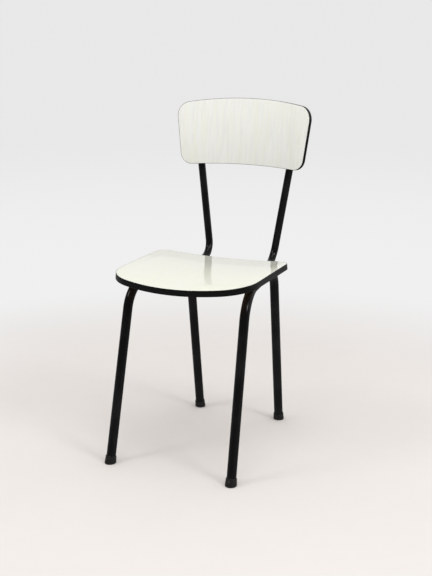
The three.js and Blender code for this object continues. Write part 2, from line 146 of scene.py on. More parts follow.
class ChairWeldSettings(bpy.types.PropertyGroup):
    length: length("Length", 0.026, "Length of a weld bead")
    width: length("Width", 0.0052, "Width of a weld bead")
    sink: ratio("Sink", 0.5, "Share of a bead that lies in the groove")
    ripples: IntProperty(name="Ripples", default=9, description="Ripples along a bead")
    ripple_depth: ratio("Ripple depth", 0.07, "Height of the ripples")


class ChairScrewSettings(bpy.types.PropertyGroup):
    shank: length("Shank", 0.004, "Diameter of the shank")
    head: length("Head", 0.0084, "Diameter of the head")
    head_height: length("Head height", 0.0026, "Height of the head")
    upper_rise: length("Upper rise", 0.042, "Upper back screw above the middle of the back")
    lower_drop: length("Lower drop", 0.038, "Lower back screw below the middle of the back")


class ChairFinishSettings(bpy.types.PropertyGroup):
    laminate_pale: colour("Laminate ground", (0.820, 0.828, 0.799), "Ground colour of the laminate")
    laminate_warm: colour("Laminate grain", (0.80, 0.80, 0.66), "Yellower streaks of the printed grain")
    laminate_grey: colour("Laminate shade", (0.755, 0.757, 0.735), "Greyer streaks of the printed grain")
    edging: colour("Edging", (0.003, 0.003, 0.003), "Edge strip")
    enamel: colour("Enamel", (0.0045, 0.0045, 0.005), "Frame enamel")
    rubber: colour("Rubber", (0.012, 0.011, 0.011), "Foot caps")
    plywood: colour("Plywood", (0.50, 0.31, 0.15), "Bare plywood under the seat")
    steel: colour("Steel", (0.55, 0.55, 0.56), "Plated screws")


class ChairStageSettings(bpy.types.PropertyGroup):
    camera_place: FloatVectorProperty(name="Camera place", default=(1.0048, -2.2444, 1.047), subtype="XYZ",
                                      description="Where the camera stands", unit="LENGTH")
    camera_yaw: FloatProperty(name="Camera yaw", default=math.radians(23.77), subtype="ANGLE",
                              description="Turn of the camera to its left")
    camera_pitch: FloatProperty(name="Camera pitch", default=math.radians(15.09), subtype="ANGLE",
                                description="Downward tilt of the camera")
    focal_pixels: ratio("Focal length in pixels", 1069.2, "For an image 576 pixels high")
    floor: colour("Floor", (0.855, 0.815, 0.785), "Pale floor")
    wall: colour("Backdrop", (0.87, 0.87, 0.87), "Pale backdrop just behind the chair")
    horizon: colour("Far backdrop", (0.81, 0.81, 0.81), "Pale backdrop far behind and above")
    mirrored: colour("Mirrored floor", (0.28, 0.28, 0.28), "Floor as seen in the chair's gloss")
    room: colour("Room", (0.10, 0.10, 0.10), "Darker room in front, seen only in reflections")
    floor_reach: length("Floor reach", 12.0, "Radius of the floor")
    fade_start: length("Fade start", 0.7, "Where the floor starts to fade out")
    fade_end: length("Fade end", 1.5, "Where the floor has the backdrop's colour")
    horizon_start: length("Horizon start", 1.5, "Where the far backdrop's colour starts")
    horizon_end: length("Horizon end", 6.0, "Where the far backdrop's colour is full")
    ambient: ratio("Ambient", 0.73, "Strength of the light from all round")


# Mesh helpers

def verts_in(geom):
    return [item for item in geom if isinstance(item, bmesh.types.BMVert)]


def edges_in(geom):
    return [item for item in geom if isinstance(item, bmesh.types.BMEdge)]


def everything(bm):
    return bm.verts[:] + bm.edges[:] + bm.faces[:]


def round_edges(bm, edges, offset, segments):
    bmesh.ops.bevel(bm, geom=edges, offset=offset, offset_type="OFFSET", affect="EDGES",
                    segments=segments, profile=0.5, material=-1)


def mesh_from(bm, name):
    mesh = bpy.data.meshes.new(name)
    bm.to_mesh(mesh)
    bm.free()
    return mesh


def add_object(name, data):
    made = bpy.data.objects.new(name, data)
    bpy.context.scene.collection.objects.link(made)
    return made


def finish_piece(bm, name, material, replaced=(), sign=1):
    """Makes the mesh an object that rides on the chair and stands for the CAD nodes it replaces."""
    if sign < 0:
        mirror_across(bm)
    bmesh.ops.remove_doubles(bm, verts=bm.verts[:], dist=MERGE)
    for face in bm.faces:
        face.smooth = True
    mesh = mesh_from(bm, name)
    mesh.set_sharp_from_angle(angle=CREASE)
    mesh.materials.append(material)
    piece = add_object(name, mesh)
    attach(piece, "root")
    if replaced:
        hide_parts(*replaced)


def mirror_across(bm):
    bmesh.ops.scale(bm, vec=(-1, 1, 1), verts=bm.verts[:])
    bmesh.ops.reverse_faces(bm, faces=bm.faces[:])


def spun_profile(bm, points, steps, matrix):
    """Spins a profile of (radius, height) points round the local z axis."""
    verts = [bm.verts.new((radius, 0, height)) for radius, height in points]
    edges = [bm.edges.new(pair) for pair in zip(verts, verts[1:])]
    bmesh.ops.spin(bm, geom=verts + edges, cent=(0, 0, 0), axis=(0, 0, 1), angle=2 * math.pi,
                   steps=steps, use_merge=True)
    bmesh.ops.remove_doubles(bm, verts=bm.verts[:], dist=MERGE)
    bmesh.ops.recalc_face_normals(bm, faces=bm.faces[:])
    bmesh.ops.transform(bm, matrix=matrix, verts=bm.verts[:])


def aimed(place, direction):
    """A matrix that puts the local z axis along a direction."""
    return Matrix.Translation(place) @ direction.to_track_quat("Z", "Y").to_matrix().to_4x4()


# Panel outlines: x runs across the panel and y along it

class Outline:
    """A panel's outline with bowed ends, straight sides and round corners."""

    STEP = 4 * MM
    SEAM = 1e-5
    DOUBLE = 1e-6

    def __init__(self, half_width, flare, top, bottom):
        self.half_width = half_width
        self.flare = flare
        self.top, self.top_bow, self.top_corner = top
        self.bottom, self.bottom_bow, self.bottom_corner = bottom

    def corner_centre(self, edge, bow, reach, corner):
        across = self.half_width - corner * math.hypot(1, self.flare)
        focus = edge - bow
        a = 1 + self.flare ** 2
        b = 2 * (across * self.flare - focus)
        c = across ** 2 + focus ** 2 - reach ** 2
        along = (-b + math.copysign(math.sqrt(b * b - 4 * a * c), bow)) / (2 * a)
        return Vector((across + self.flare * along, along, 0))

    def arc(self, bm, vert, centre, angle):
        steps = max(2, math.ceil(abs(angle) * (vert.co - centre).length / self.STEP))
        spun = bmesh.ops.spin(bm, geom=[vert], cent=centre, axis=(0, 0, 1), angle=angle, steps=steps)
        return verts_in(spun["geom_last"])[0]

    def line(self, bm, vert, end):
        step = (end - vert.co) / max(1, math.ceil((end - vert.co).length / self.STEP))
        while (end - vert.co).length > step.length / 2:
            made = bmesh.ops.extrude_vert_indiv(bm, verts=[vert])
            vert = made["verts"][0]
            bmesh.ops.translate(bm, vec=step, verts=[vert])
        return vert

    def trace(self, bm, inset=0.0):
        """Draws one half, mirrors it and returns the closed loop's edges."""
        low = self.corner_centre(self.bottom, self.bottom_bow,
                                 abs(self.bottom_bow + self.bottom_corner), self.bottom_corner)
        high = self.corner_centre(self.top, self.top_bow,
                                  abs(self.top_bow - self.top_corner), self.top_corner)
        low_focus = Vector((0, self.bottom - self.bottom_bow, 0))
        high_focus = Vector((0, self.top - self.top_bow, 0))
        side = -math.atan(self.flare)
        outward = Vector((math.cos(side), math.sin(side), 0))
        low_turn = math.atan2((low - low_focus).x, abs((low - low_focus).y))
        low_turn = math.copysign(low_turn, self.bottom_bow)
        high_turn = math.atan2((high - high_focus).x, (high - high_focus).y)
        vert = bm.verts.new((0, self.bottom + inset, 0))
        vert = self.arc(bm, vert, low_focus, -low_turn)
        vert = self.arc(bm, vert, low, math.pi / 2 + side + low_turn)
        vert = self.line(bm, vert, high + outward * (self.top_corner - inset))
        vert = self.arc(bm, vert, high, math.pi / 2 - side - high_turn)
        self.arc(bm, vert, high_focus, high_turn)
        bmesh.ops.mirror(bm, geom=bm.verts[:] + bm.edges[:], merge_dist=self.SEAM, axis="X")
        bmesh.ops.remove_doubles(bm, verts=bm.verts[:], dist=self.DOUBLE)
        return bm.edges[:]


class CurvedPanel:
    """Bends flat panel work round an axis and puts it in its place on the chair."""

    STRIP = 4 * MM
    CUT = 1e-6
    CLEARANCE = 0.1 * MM
    SHEET_ROUNDING = 0.15 * MM
    RIM_ANGLE = 1.2

    def __init__(self, outline, radius, matrix):
        self.outline = outline
        self.radius = radius
        self.matrix = matrix

    def bend(self, bm):
        for vert in bm.verts:
            across, along, out = vert.co
            angle = across / self.radius
            reach = self.radius + out
            vert.co = (reach * math.sin(angle), reach * math.cos(angle) - self.radius, along)
        bmesh.ops.reverse_faces(bm, faces=bm.faces[:])
        bmesh.ops.transform(bm, matrix=self.matrix, verts=bm.verts[:])

    def slice_across(self, bm):
        """Cuts the flat sheet into narrow strips, so that it bends smoothly."""
        widest = max(vert.co.x for vert in bm.verts)
        strips = math.ceil(2 * widest / self.STRIP)
        for i in range(1, strips):
            bmesh.ops.bisect_plane(bm, geom=everything(bm), dist=self.CUT,
                                   plane_co=(widest * (2 * i / strips - 1), 0, 0), plane_no=X_AXIS)

    def sheet(self, start, thickness, edging):
        """A sheet with softened rims inside the edging, at a distance behind the panel's face."""
        bm = bmesh.new()
        rim = self.outline.trace(bm, edging + self.CLEARANCE)
        face = bmesh.ops.contextual_create(bm, geom=rim)["faces"][0]
        if face.normal.z > 0:
            face.normal_flip()
        raised = bmesh.ops.extrude_face_region(bm, geom=[face])["geom"]
        bmesh.ops.translate(bm, vec=(0, 0, thickness), verts=verts_in(raised))
        bmesh.ops.translate(bm, vec=(0, 0, start), verts=bm.verts[:])
        bmesh.ops.recalc_face_normals(bm, faces=bm.faces[:])
        rims = [edge for edge in bm.edges if abs(edge.verts[0].co.z - edge.verts[1].co.z) < MERGE]
        round_edges(bm, rims, self.SHEET_ROUNDING, segments=2)
        self.slice_across(bm)
        self.bend(bm)
        return bm

    def wall(self, inset, height):
        """The outline, raised into a wall."""
        bm = bmesh.new()
        rim = self.outline.trace(bm, inset)
        raised = bmesh.ops.extrude_edge_only(bm, edges=rim)["geom"]
        bmesh.ops.translate(bm, vec=(0, 0, height), verts=verts_in(raised))
        return bm

    def edging(self, height, thickness, rounding):
        """The strip round the panel's edge, with rounded outer corners."""
        bm = self.wall(0.0, height)
        scrap = mesh_from(self.wall(thickness, height), "scrap")
        bm.from_mesh(scrap)
        bpy.data.meshes.remove(scrap)
        for level in (0, height):
            rims = [e for e in bm.edges if all(abs(vert.co.z - level) < MERGE for vert in e.verts)]
            bmesh.ops.bridge_loops(bm, edges=rims)
        bmesh.ops.recalc_face_normals(bm, faces=bm.faces[:])
        round_edges(bm, [edge for edge in bm.edges if self.on_outer_rim(edge)], rounding, segments=3)
        self.bend(bm)
        return bm

    def on_outer_rim(self, edge):
        """Whether an edge lies where the outward wall meets a rim."""
        if edge.calc_face_angle(0) <= self.RIM_ANGLE:
            return False
        wall = min(edge.link_faces, key=lambda face: abs(face.normal.z))
        middle = wall.calc_center_median()
        return wall.normal.dot(Vector((middle.x, middle.y, 0))) > 0


# Tubes: a ring is extruded along straight runs and spun round bends

def bent_tube(bm, corners, bends, radius):
    """Returns the edge loops at both ends of an open tube through the corners."""
    heading = [(b - a).normalized() for a, b in zip(corners, corners[1:])]
    ring = bmesh.ops.create_circle(bm, cap_ends=False, segments=TUBE_SIDES, radius=radius,
                                   matrix=aimed(corners[0], heading[0]))
    edges = list({edge for vert in ring["verts"] for edge in vert.link_edges})
    first = edges[:]
    place = corners[0].copy()
    for i, bend in enumerate(bends):
        before, after = heading[i], heading[i + 1]
        turn = before.angle(after)
        start = corners[i + 1] - before * bend * math.tan(turn / 2)
        edges = extrude_ring(bm, edges, start - place)
        inward = (after - before * after.dot(before)).normalized()
        geom = edges + list({vert for edge in edges for vert in edge.verts})
        axis = before.cross(after).normalized()
        steps = max(2, math.ceil(turn / BEND_STEP))
        spun = bmesh.ops.spin(bm, geom=geom, cent=start + inward * bend, axis=axis,
                              angle=turn, steps=steps)
        edges = edges_in(spun["geom_last"])
        place = corners[i + 1] + after * bend * math.tan(turn / 2)
    last = extrude_ring(bm, edges, corners[-1] - place)
    return first, last


def extrude_ring(bm, edges, move):
    made = bmesh.ops.extrude_edge_only(bm, edges=edges)["geom"]
    ring = set(verts_in(made))
    bmesh.ops.translate(bm, vec=move, verts=list(ring))
    return [edge for edge in edges_in(made) if set(edge.verts) <= ring]


def hollow_tube(corners, bends, radius, wall):
    """A tube whose bore faces inward before the ends are bridged."""
    bm = bmesh.new()
    inner = bent_tube(bm, corners, bends, radius - wall)
    bmesh.ops.reverse_faces(bm, faces=bm.faces[:])
    outer = bent_tube(bm, corners, bends, radius)
    for outside, inside in zip(outer, inner):
        bmesh.ops.bridge_loops(bm, edges=outside + inside)
    bmesh.ops.recalc_face_normals(bm, faces=bm.faces[:])
    return bm


# The chair's skeleton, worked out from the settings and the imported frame

class Skeleton:
    def __init__(self, chair):
        self.tube = tube = chair.frame
        self.seat = seat = chair.seat
        self.back = back = chair.back
        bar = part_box("front_crossbar")
        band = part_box("seat_edge_band")
        self.shift = (bar[0].y + bar[1].y) / 2 - tube.front_crossbar
        self.rail_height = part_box("left_side_frame")[1].z - tube.leg_tube / 2
        self.run_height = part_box("left_upright")[0].z + tube.upright_tube / 2
        self.seat_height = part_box("seat_laminate")[0].z + seat.laminate
        self.seat_middle = (band[0].y + band[1].y) / 2
        self.seat_depth = band[1].y - band[0].y
        self.seat_thickness = seat.laminate + GAP + seat.board
        self.back_thickness = 2 * (back.laminate + GAP) + back.board
        self.turn = math.atan2(tube.rail_front - tube.rail_rear, tube.rail_length)
        self.corners = {
            "front": Vector((tube.rail_front, self.shift, self.rail_height)),
            "rear": Vector((tube.rail_rear, self.shift + tube.rail_length, self.rail_height)),
        }
        self.ups = {
            "front": Vector((-tube.front_splay, tube.front_rake, 1)),
            "rear": Vector((-tube.rear_splay, -tube.rear_rake, 1)),
        }
        self.upright_slope = Vector((tube.upright_splay, tube.upright_lean, 1))
        self.upright_foot = self.beside_rail(tube.upright_corner)
        self.back_reach = back.curve_radius + self.back_thickness + GAP + tube.upright_tube / 2
        middle = self.on_upright(back.height)
        across = math.sqrt(self.back_reach ** 2 - middle.x ** 2)
        self.back_tilt = math.atan(tube.upright_lean + tube.upright_splay * middle.x / across)
        self.back_place = middle.y - (across - back.curve_radius) / math.cos(self.back_tilt)

    def rail_half_spread(self, place):
        tube = self.tube
        return tube.rail_front + (tube.rail_rear - tube.rail_front) * place / tube.rail_length

    def rail_point(self, place):
        return Vector((self.rail_half_spread(place), self.shift + place, self.rail_height))

    def rail_way(self):
        return (self.corners["rear"] - self.corners["front"]).normalized()

    def beside_rail(self, place):
        """A point of the upright's axis where it runs beside the rail."""
        offset = (self.tube.leg_tube / 2 + GAP + self.tube.upright_tube / 2) / math.cos(self.turn)
        return Vector((self.rail_half_spread(place) - offset, self.shift + place, self.run_height))

    def on_leg(self, end, height):
        corner = self.corners[end]
        return corner + self.ups[end] * (height - corner.z)

    def leg_end(self, end, sole):
        up = self.ups[end]
        return self.on_leg(end, sole + GAP + self.tube.leg_tube / 2 * math.hypot(up.x, up.y))

    def on_upright(self, height):
        return self.upright_foot + self.upright_slope * (height - self.upright_foot.z)

    @staticmethod
    def tilted(y, z, tilt):
        return Matrix.Translation((0, y, z)) @ Matrix.Rotation(-tilt, 4, "X")

    def seat_panel(self):
        seat = self.seat
        outline = Outline(seat.width / 2, 0.0, (self.seat_depth / 2, seat.rear_bow, seat.rear_corner),
                          (-self.seat_depth / 2, -seat.front_bow, seat.front_corner))
        place = self.tilted(self.seat_middle, self.seat_height, math.pi / 2)
        return CurvedPanel(outline, seat.dish_radius, place)

    def back_panel(self):
        back = self.back
        outline = Outline(back.half_width, back.flare, (back.rise, back.top_bow, back.top_corner),
                          (-back.drop, back.bottom_bow, back.bottom_corner))
        place = self.tilted(self.back_place, back.height, self.back_tilt)
        return CurvedPanel(outline, back.curve_radius, place)

    def back_screw(self, rise):
        """Where a back screw crosses the upright's axis, and the way out through its head."""
        axis_point = self.on_upright(self.back.height + rise)
        turn = math.asin(axis_point.x / self.back_reach)
        out = Matrix.Rotation(-self.back_tilt, 3, "X") @ Vector((math.sin(turn), math.cos(turn), 0))
        return axis_point, out

    def crossbar_underside(self, across):
        reach = self.seat.dish_radius + self.seat_thickness
        underside = self.seat_height + self.seat.dish_radius - math.sqrt(reach ** 2 - across ** 2)
        return underside - GAP - self.tube.crossbar


# Weld beads

WELD_SIDES = 20
WELD_RINGS = 80
WELD_CRESCENT = 0.08


def weld_bead(bm, weld, centre, along, length):
    """A bead laid along a groove, with round ends and crescent ripples."""
    made = bmesh.ops.create_uvsphere(bm, u_segments=WELD_SIDES, v_segments=WELD_RINGS, radius=1.0)
    half = weld.width / 2
    for vert in made["verts"]:
        across, up, run = vert.co
        wave = math.cos(math.pi * weld.ripples * (run + WELD_CRESCENT * across ** 2))
        ripple = 1 + weld.ripple_depth * wave
        fullness = ripple * math.sqrt(1 + run ** 2) * half
        vert.co = (across * fullness, up * fullness, run * length / 2)
    bmesh.ops.transform(bm, matrix=aimed(centre, along), verts=made["verts"])


# Shader maths

class Value:
    """A socket that takes part in Python expressions."""

    def __init__(self, finish, socket):
        self.finish = finish
        self.socket = socket

    def math(self, operation, *operands):
        return self.finish.node("Math", dict(enumerate(operands)), operation=operation)

    def __add__(self, other):
        return self.math("ADD", self, other)

    __radd__ = __add__

    def __mul__(self, other):
        return self.math("MULTIPLY", self, other)

    __rmul__ = __mul__

    def __sub__(self, other):
        return self.math("SUBTRACT", self, other)

    def __rsub__(self, other):
        return self.math("SUBTRACT", other, self)

    def between(self, low, high):
        """Fades smoothly from 0 at low to 1 at high."""
        inputs = {"Value": self, "From Min": low, "From Max": high}
        return self.finish.node("MapRange", inputs, interpolation_type="SMOOTHSTEP")


class Finish:
    """A material's node tree, with one method that adds every node."""

    def __init__(self, name, owner=None):
        self.material = owner or bpy.data.materials.new(name)
        self.material.use_nodes = True
        self.tree = self.material.node_tree
        self.tree.nodes.clear()

    def node(self, kind, inputs=None, output=0, **settings):
        made = self.tree.nodes.new("ShaderNode" + kind)
        for key, value in settings.items():
            setattr(made, key, value)
        for key, value in (inputs or {}).items():
            self.feed(made.inputs[key], value)
        return Value(self, made.outputs[output]) if made.outputs else None

    def feed(self, socket, value):
        if isinstance(value, Value):
            self.tree.links.new(value.socket, socket)
        elif socket.type == "RGBA":
            socket.default_value = (*value[:3], 1.0)
        else:
            socket.default_value = value

    def places(self, scale=(1, 1, 1), offset=(0, 0, 0)):
        """Object coordinates, stretched and moved."""
        coordinates = self.node("TexCoord", output="Object")
        inputs = {"Vector": coordinates, "Location": offset, "Scale": scale}
        return self.node("Mapping", inputs)

    def noise(self, where, scale, detail=3.0, roughness=0.5, distortion=0.0):
        return self.node("TexNoise", {"Vector": where, "Scale": scale, "Detail": detail,
                                                    "Roughness": roughness, "Distortion": distortion})

    def blend(self, factor, first, second):
        return self.node("Mix", {"Factor": factor, 6: first, 7: second}, 2, data_type="RGBA")

    def bump(self, height, distance):
        return self.node("Bump", {"Height": height, "Distance": distance, "Strength": 1.0})

    def surface(self, **sockets):
        """Closes the tree with a Principled surface; names use underscores for spaces."""
        inputs = {name.replace("_", " "): value for name, value in sockets.items()}
        return self.close(self.node("BsdfPrincipled", inputs))

    def close(self, shader):
        self.node("OutputMaterial", {"Surface": shader})
        return self.material


def seen_directly(finish):
    """1 for rays from the camera, in mirrors and through glass, and 0 for rays that light the chair."""
    names = ("Is Camera Ray", "Is Glossy Ray", "Is Transmission Ray")
    camera, glossy, through = [finish.node("LightPath", output=name) for name in names]
    return finish.node("Math", {0: camera + glossy, 1: through}, operation="ADD", use_clamp=True)


def scaled(tone, factor):
    return tuple(channel * factor for channel in tone)


def laminate_finish(name, colours, along, offset, yellowing, contrast, gloss):
    """Laminate with a faint printed wood grain along the y or z axis, the same on both faces."""
    grain_stretch = 0.07
    hair_stretch = 0.02
    contour_turns = 95.0
    finish = Finish(name)
    grain = finish.places(X_AXIS + along * grain_stretch, offset)
    fine = finish.places(X_AXIS + along * hair_stretch, offset)
    drift = finish.noise(grain, scale=14.0, detail=2.0)
    bands = finish.noise(grain, scale=95.0, roughness=0.6, distortion=0.5)
    flame = finish.noise(grain, scale=17.0, detail=2.0, roughness=0.4, distortion=0.8)
    phase = flame * contour_turns
    contours = phase.math("SINE", phase)
    streaks = finish.noise(grain, scale=185.0, detail=4.0, roughness=0.65, distortion=0.7)
    hairs = finish.noise(fine, scale=520.0, roughness=0.6)
    warm = bands.between(0.44, 0.62) * 0.75 + contours.between(0.0, 1.0) * drift.between(0.38, 0.58) * 0.7
    shade = hairs.between(0.46, 0.70) * 0.3 + streaks.between(0.44, 0.66) * 0.8
    ground = finish.blend(warm * contrast * 0.5 + yellowing, colours.laminate_pale, colours.laminate_warm)
    mottle = finish.noise(finish.places(), scale=14.0, detail=2.0)
    waves = finish.noise(finish.places(), scale=17.0, detail=1.0)
    return finish.surface(
        Base_Color=finish.blend(shade * contrast, ground, colours.laminate_grey),
        Roughness=gloss + mottle * 0.04,
        IOR=1.5,
        Normal=finish.bump(waves, distance=0.05 * MM),
    )


def enamel_finish(name, tone):
    """Satin enamel with a little orange peel and some duller patches."""
    finish = Finish(name)
    places = finish.places()
    patch = finish.noise(places, scale=16.0)
    peel = finish.noise(places, scale=700.0, detail=2.0)
    return finish.surface(
        Base_Color=finish.blend(patch.between(0.45, 0.75), tone, scaled(tone, 2.2)),
        Roughness=0.10 + patch * 0.12,
        IOR=1.32,
        Normal=finish.bump(peel, distance=0.04 * MM),
    )


def edging_finish(name, tone):
    """Black plastic edge strip, slightly dull, with fine handling marks."""
    finish = Finish(name)
    marks = finish.noise(finish.places(), scale=140.0, detail=4.0, roughness=0.7)
    return finish.surface(
        Base_Color=finish.blend(marks.between(0.55, 0.8), tone, scaled(tone, 2.4)),
        Roughness=0.16 + marks * 0.14,
        IOR=1.32,
        Normal=finish.bump(marks, distance=0.04 * MM),
    )


def rubber_finish(name, tone):
    """Dull rubber with pale scuffs and dust near the floor; the scuffs are partly real wear and partly
    painted highlights, strongest near the cap's top.
    """
    # Pale tone of the scuffs, which also serves as the painted highlight on the caps.
    scuff_and_highlight_tone = (0.17, 0.16, 0.165)
    dust_tone = (0.16, 0.145, 0.13)
    finish = Finish(name)
    places = finish.places()
    height = finish.node("SeparateXYZ", {"Vector": finish.places()}, "Z")
    # Painted highlight: the pale scuffs get stronger towards the top of the cap, where the highlights
    # fall.
    highlight_weight_near_top = 0.35 + height.between(8 * MM, 14 * MM) * 0.65
    scratches = finish.noise(places, scale=230.0, detail=5.0, roughness=0.7, distortion=1.0)
    scuffs_and_highlights = scratches.between(0.54, 0.70) * highlight_weight_near_top
    dust = (1 - height.between(0.0, 4 * MM)) * finish.noise(places, scale=120.0) * 0.4
    return finish.surface(
        Base_Color=finish.blend(scuffs_and_highlights * 0.6, finish.blend(dust, tone, dust_tone), scuff_and_highlight_tone),
        Roughness=0.42 + scuffs_and_highlights * 0.3,
        IOR=1.35,
        Normal=finish.bump(finish.noise(places, scale=420.0), distance=0.15 * MM),
    )


def plywood_finish(name, tone):
    """Bare rotary-cut veneer with long grain."""
    finish = Finish(name)
    grain = finish.places((1.0, 0.08, 1.0))
    rings = finish.noise(grain, scale=60.0, detail=5.0, roughness=0.65, distortion=1.2)
    pores = finish.noise(grain, scale=420.0, roughness=0.7).between(0.55, 0.75)
    face = finish.blend(rings.between(0.3, 0.75), tone, scaled(tone, 0.62))
    return finish.surface(
        Base_Color=finish.blend(pores * 0.5, face, scaled(tone, 0.4)),
        Roughness=0.58 + rings * 0.2,
        Normal=finish.bump(rings + pores * 0.5, distance=0.2 * MM),
    )


def steel_finish(name, tone):
    """Zinc plate with cloudy dulling."""
    finish = Finish(name)
    cloud = finish.noise(finish.places(), scale=600.0)
    return finish.surface(
        Base_Color=finish.blend(cloud.between(0.35, 0.75), tone, scaled(tone, 0.6)),
        Metallic=1.0,
        Roughness=0.28 + cloud * 0.25,
    )


def finishes(chair, name):
    """The chair's materials by name, each made when it is first asked for."""
    tones = chair.finish
    makers = {
        "back_laminate": (laminate_finish, tones, Z_AXIS, (0.0, 0.0, 0.0), 0.05, 0.8, 0.10),
        "seat_laminate": (laminate_finish, tones, Y_AXIS, (0.7, 0.2, 0.0), 0.66, 0.4, 0.05),
        "enamel": (enamel_finish, tones.enamel[:]),
        "edging": (edging_finish, tones.edging[:]),
        "rubber": (rubber_finish, tones.rubber[:]),
        "plywood": (plywood_finish, tones.plywood[:]),
        "steel": (steel_finish, tones.steel[:]),
        "plastic": (edging_finish, tones.edging[:]),
    }
    make, *arguments = makers[name]
    full_name = "chair_" + name
    return bpy.data.materials.get(full_name) or make(full_name, *arguments)


def dress(nodes, material):
    """Gives CAD nodes their material."""
    for name in nodes:
        node = frame["nodes"][name]
        node.data.materials.clear()
        node.data.materials.append(material)


# Operators, one for each group of pieces

class ChairBuilder:
    """What the operators that build pieces share."""

    def execute(self, context):
        chair = context.scene.chair
        self.build(chair, Skeleton(chair))
        return {"FINISHED"}


class CHAIR_OT_seat(ChairBuilder, bpy.types.Operator):
    """Build the seat's laminate and edging, and finish its board"""

    bl_idname = "chair.seat"
    bl_label = "Seat"

    def build(self, chair, bones):
        panel = bones.seat_panel()
        seat = chair.seat
        laminate = finishes(chair, "seat_laminate")
        bm = panel.sheet(0.0, seat.laminate, seat.edging)
        finish_piece(bm, "seat_top_sheet", laminate, ["seat_laminate"])
        bm = panel.edging(bones.seat_thickness, seat.edging, seat.rounding)
        finish_piece(bm, "seat_edging", finishes(chair, "edging"), ["seat_edge_band"])
        dress(["seat_board"], finishes(chair, "plywood"))


class CHAIR_OT_back(ChairBuilder, bpy.types.Operator):
    """Build the back's board, its two laminate sheets and its edging"""

    bl_idname = "chair.back"
    bl_label = "Back"

    def build(self, chair, bones):
        panel = bones.back_panel()
        back = chair.back
        laminate = finishes(chair, "back_laminate")
        rear_sheet = bones.back_thickness - back.laminate
        bm = panel.sheet(0.0, back.laminate, back.edging)
        finish_piece(bm, "back_face_sheet", laminate, ["back_front_laminate"])
        bm = panel.sheet(rear_sheet, back.laminate, back.edging)
        finish_piece(bm, "back_rear_sheet", laminate, ["back_rear_laminate"])
        bm = panel.edging(bones.back_thickness, back.edging, back.rounding)
        finish_piece(bm, "back_edging", finishes(chair, "edging"), ["back_edge_band"])
        bm = panel.sheet(back.laminate, rear_sheet - back.laminate, back.edging)
        finish_piece(bm, "back_core", finishes(chair, "plywood"), ["back_board"])


class CHAIR_OT_tubes(ChairBuilder, bpy.types.Operator):
    """Build the bent side frames and uprights, and enamel the crossbars"""

    bl_idname = "chair.tubes"
    bl_label = "Tubes"

    def build(self, chair, bones):
        tube = chair.frame
        material = finishes(chair, "enamel")
        legs = [bones.leg_end("front", chair.foot.sole), bones.corners["front"],
                bones.corners["rear"], bones.leg_end("rear", chair.foot.sole)]
        upright = [bones.beside_rail(tube.upright_start), bones.upright_foot,
                   bones.on_upright(tube.upright_top)]
        for side, sign in SIDES.items():
            bm = hollow_tube(legs, [tube.front_bend, tube.rear_bend], tube.leg_tube / 2, tube.wall)
            finish_piece(bm, side + "_side_tube", material, [side + "_side_frame"], sign)
            bm = hollow_tube(upright, [tube.upright_bend], tube.upright_tube / 2, tube.wall)
            finish_piece(bm, side + "_upright_tube", material, [side + "_upright"], sign)
        dress(["front_crossbar", "rear_crossbar"], material)


class CHAIR_OT_welds(ChairBuilder, bpy.types.Operator):
    """Lay the weld beads that join the uprights and the crossbars to the seat rails"""

    bl_idname = "chair.welds"
    bl_label = "Welds"
    UPRIGHT_WELDS = (0.075, 0.160, 0.240)
    CROSSBAR_SHARE = 0.86

    def build(self, chair, bones):
        weld = chair.weld
        material = finishes(chair, "enamel")
        for side, sign in SIDES.items():
            for joint, lay in (("upright", self.beside_rail), ("crossbar", self.under_crossbar)):
                bm = bmesh.new()
                lay(bm, bones, weld)
                finish_piece(bm, f"{side}_{joint}_welds", material, sign=sign)

    def beside_rail(self, bm, bones, weld):
        """Beads from below, in the groove between the rail and the upright."""
        tube = bones.tube
        lift = weld.width / 2 * (1 - weld.sink)
        rail_reach = tube.leg_tube / 2 + lift
        upright_reach = tube.upright_tube / 2 + lift
        for place in self.UPRIGHT_WELDS:
            rail = bones.rail_point(place)
            across = bones.beside_rail(place) - rail
            apart = across.length
            share = (rail_reach ** 2 - upright_reach ** 2 + apart ** 2) / (2 * apart)
            across.normalize()
            down = across.cross(bones.rail_way())
            if down.z > 0:
                down.negate()
            centre = rail + across * share + down * math.sqrt(rail_reach ** 2 - share ** 2)
            weld_bead(bm, weld, centre, bones.rail_way(), weld.length)

    def under_crossbar(self, bm, bones, weld):
        """Beads between each crossbar's underside and the inner flank of the upright."""
        tube = bones.tube
        lift = weld.width / 2 * (1 - weld.sink)
        reach = tube.upright_tube / 2 + lift
        for place in (tube.front_crossbar, tube.rear_crossbar):
            upright = bones.beside_rail(place)
            height = bones.crossbar_underside(upright.x - reach) - lift
            inward = math.sqrt(reach ** 2 - (height - upright.z) ** 2)
            centre = Vector((upright.x - inward, upright.y, height))
            weld_bead(bm, weld, centre, bones.rail_way(), tube.crossbar_width * self.CROSSBAR_SHARE)


